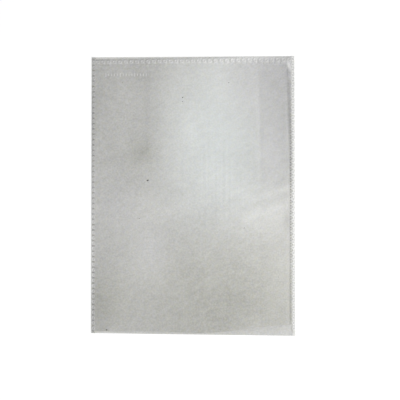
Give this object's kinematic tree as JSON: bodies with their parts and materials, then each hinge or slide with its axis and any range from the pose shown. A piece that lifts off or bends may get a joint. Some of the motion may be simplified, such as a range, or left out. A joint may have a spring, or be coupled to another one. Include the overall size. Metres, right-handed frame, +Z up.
{
  "type": "plastic pocket",
  "caption": "Flat translucent plastic pocket for one A6 sheet: two films joined by dotted weld rows on three sides, open at one short side, with a lifting front film.",
  "frame": {"origin": "middle of the underside of the back film, on the surface that the pocket lies on", "axes": "+X across the pocket, +Y from the open mouth to the closed end, +Z up from the back film to the front film"},
  "size_m": [0.1116, 0.1526, 0.0065],
  "materials": {
    "back_film": "frosted translucent film, cool light grey",
    "front_film": "frosted translucent film with a fine grain, cool light grey",
    "welded_film": "film pressed smooth and pale by the weld"
  },
  "bodies": {
    "pocket": {"back_film": "back_film", "front_film_left_margin": "welded_film", "front_film_top_margin": "welded_film", "front_film_right_margin": "welded_film"},
    "front_panel": {"front_film_panel": "front_film"}
  },
  "joints": [
    {"name": "mouth_lift", "type": "hinge", "parent": "pocket", "child": "front_panel", "pos_m": [0, 0.07175, 0.00025], "axis": [-1, 0, 0], "range_deg": [0, 6]}
  ]
}
